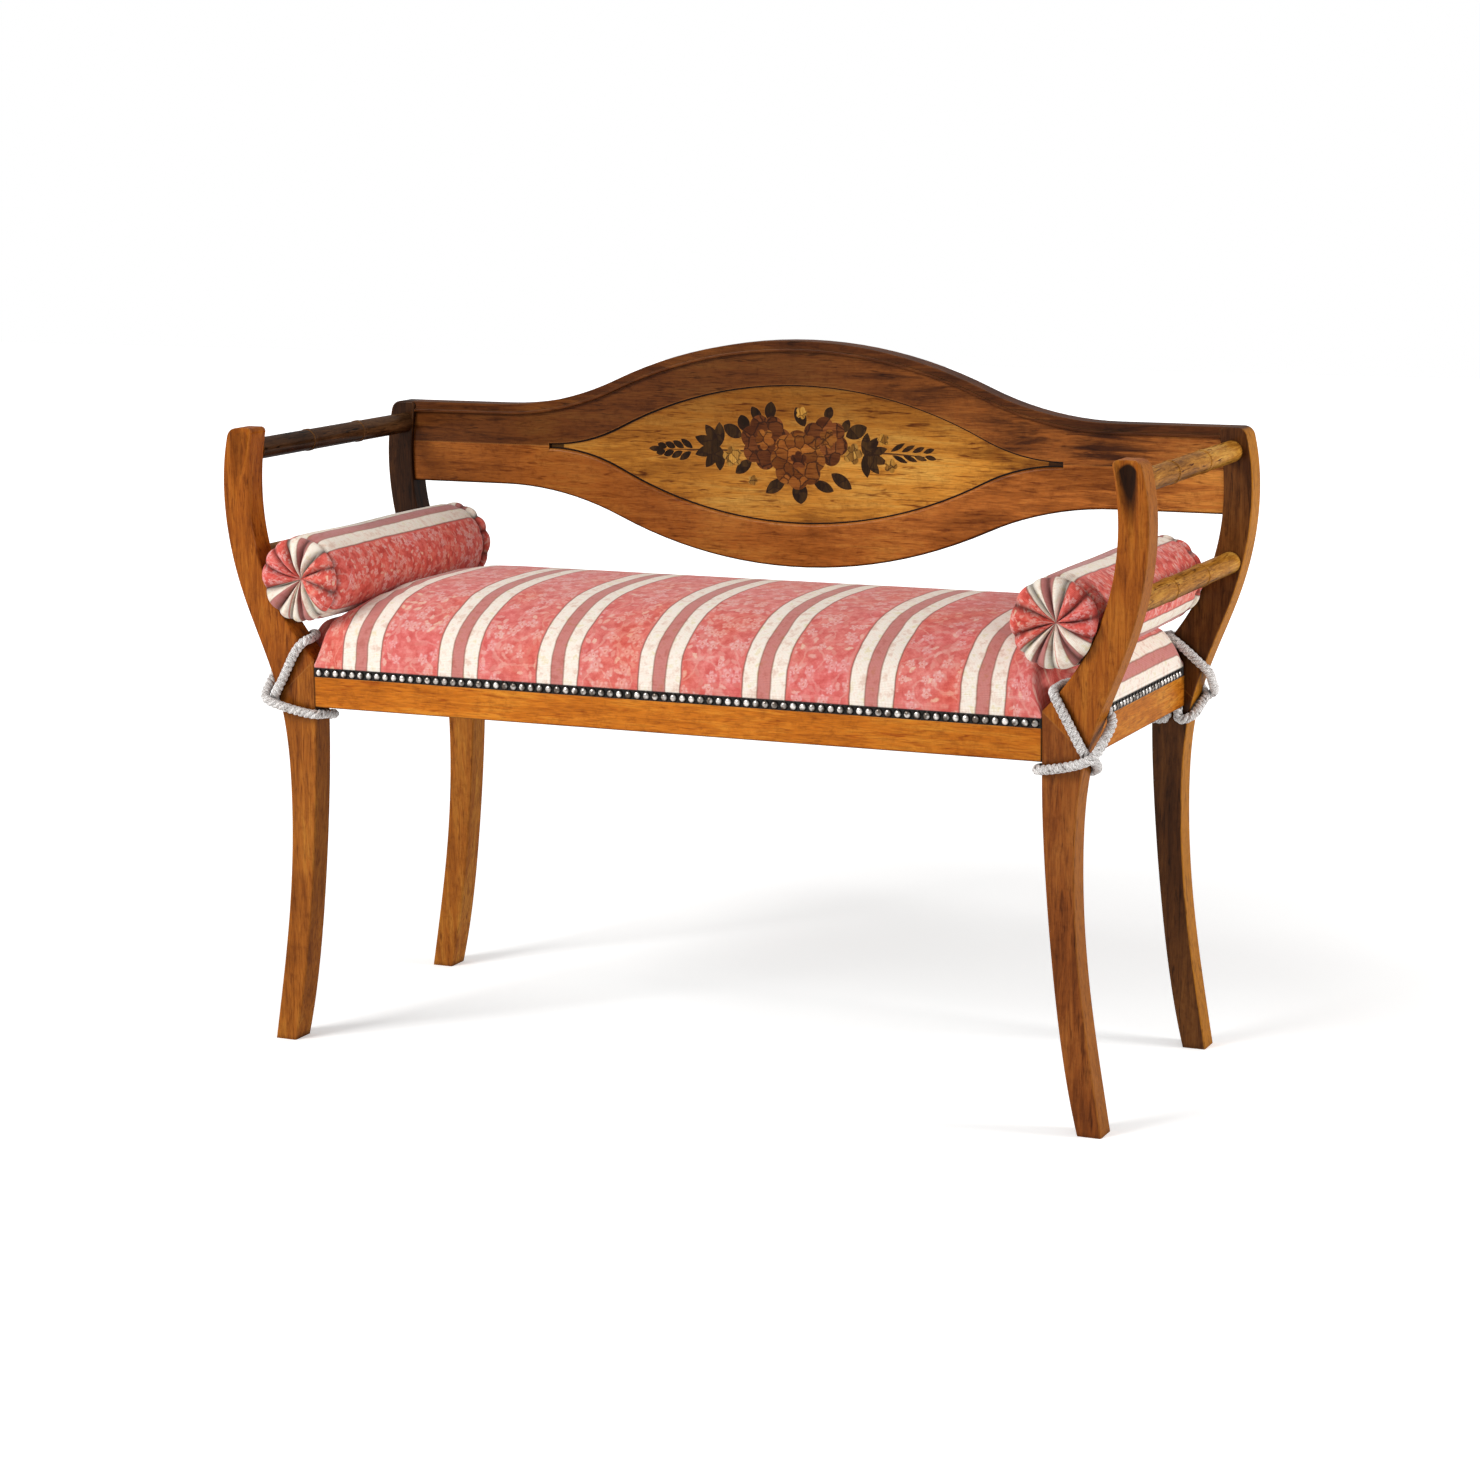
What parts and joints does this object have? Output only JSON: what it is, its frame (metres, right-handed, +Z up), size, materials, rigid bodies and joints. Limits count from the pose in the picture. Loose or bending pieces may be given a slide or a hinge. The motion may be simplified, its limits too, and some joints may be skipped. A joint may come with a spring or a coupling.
{
  "type": "settee",
  "caption": "Open-arm neoclassical settee with splayed sabre legs, rope-lashed arm posts, serpentine inlaid back, domed striped seat and loose gathered bolsters.",
  "frame": {"origin": "on the floor, under the middle of the overall box", "axes": "+X along the length, to the right as seen from the front; +Y towards the back; +Z up"},
  "size_m": [1.06, 0.4284, 0.7664],
  "materials": {
    "frame_wood": "warm orange brown hardwood under glossy varnish",
    "rod_wood": "turned hardwood under glossy varnish",
    "back_wood": "red brown hardwood under glossy varnish",
    "cap_wood": "hardwood moulding under glossy varnish",
    "panel_veneer": "golden veneer under glossy varnish",
    "dark_stringing": "blackened wood inlay",
    "stem_veneer": "dark brown veneer inlay",
    "leaf_veneer": "dark olive brown veneer inlay",
    "rose_veneer": "reddish brown veneer inlay",
    "heart_veneer": "orange brown veneer inlay",
    "blossom_veneer": "pale yellow veneer inlay",
    "hidden_wood": "plain beech",
    "steel": "plain steel",
    "nail_bronze": "antique bronzed brass",
    "lashing_rope": "silver white twisted cord",
    "seat_fabric": "woven stripes, cream and rose with a floral damask band",
    "bolster_fabric": "woven stripes, cream and rose with a floral damask band",
    "padding": "soft padding",
    "webbing": "jute webbing",
    "burlap": "coarse burlap",
    "dust_cloth": "black dust cloth"
  },
  "bodies": {
    "frame": {"arm_front_left": "frame_wood", "arm_front_right": "frame_wood", "arm_rear_left": "frame_wood", "arm_rear_right": "frame_wood", "arm_rod_lower_left": "rod_wood", "arm_rod_lower_right": "rod_wood", "arm_rod_upper_left": "rod_wood", "arm_rod_upper_right": "rod_wood", "arm_scarf_dowels": "hidden_wood", "back_cap_moulding": "cap_wood", "back_dowels": "hidden_wood", "back_panel": "panel_veneer", "back_rail_bottom": "back_wood", "back_rail_top": "back_wood", "back_stringing": "dark_stringing", "corner_bolts": "steel", "corner_braces": "hidden_wood", "inlay_blossoms": "blossom_veneer", "inlay_leaves": "leaf_veneer", "inlay_rose_hearts": "heart_veneer", "inlay_roses": "rose_veneer", "inlay_stems": "stem_veneer", "lashing_front_left": "lashing_rope", "lashing_front_right": "lashing_rope", "lashing_rear_left": "lashing_rope", "lashing_rear_right": "lashing_rope", "leg_front_left": "frame_wood", "leg_front_right": "frame_wood", "leg_rear_left": "frame_wood", "leg_rear_right": "frame_wood", "nails_front_left": "nail_bronze", "nails_front_right": "nail_bronze", "nails_left": "nail_bronze", "nails_rear_left": "nail_bronze", "nails_rear_right": "nail_bronze", "nails_right": "nail_bronze", "seat_burlap": "burlap", "seat_cover": "seat_fabric", "seat_dust_cover": "dust_cloth", "seat_foam": "padding", "seat_rail_front": "frame_wood", "seat_rail_left": "frame_wood", "seat_rail_rear": "frame_wood", "seat_rail_right": "frame_wood", "seat_webbing_cross": "webbing", "seat_webbing_long": "webbing"},
    "bolster_left": {"bolster_left_cover": "bolster_fabric", "bolster_left_fill": "padding"},
    "bolster_right": {"bolster_right_cover": "bolster_fabric", "bolster_right_fill": "padding"}
  },
  "joints": [
    {"name": "bolster_left_lift", "type": "slide", "parent": "frame", "child": "bolster_left", "axis": [0, 0, 1], "range_m": [0, 0.25]},
    {"name": "bolster_right_lift", "type": "slide", "parent": "frame", "child": "bolster_right", "axis": [0, 0, 1], "range_m": [0, 0.25]}
  ]
}
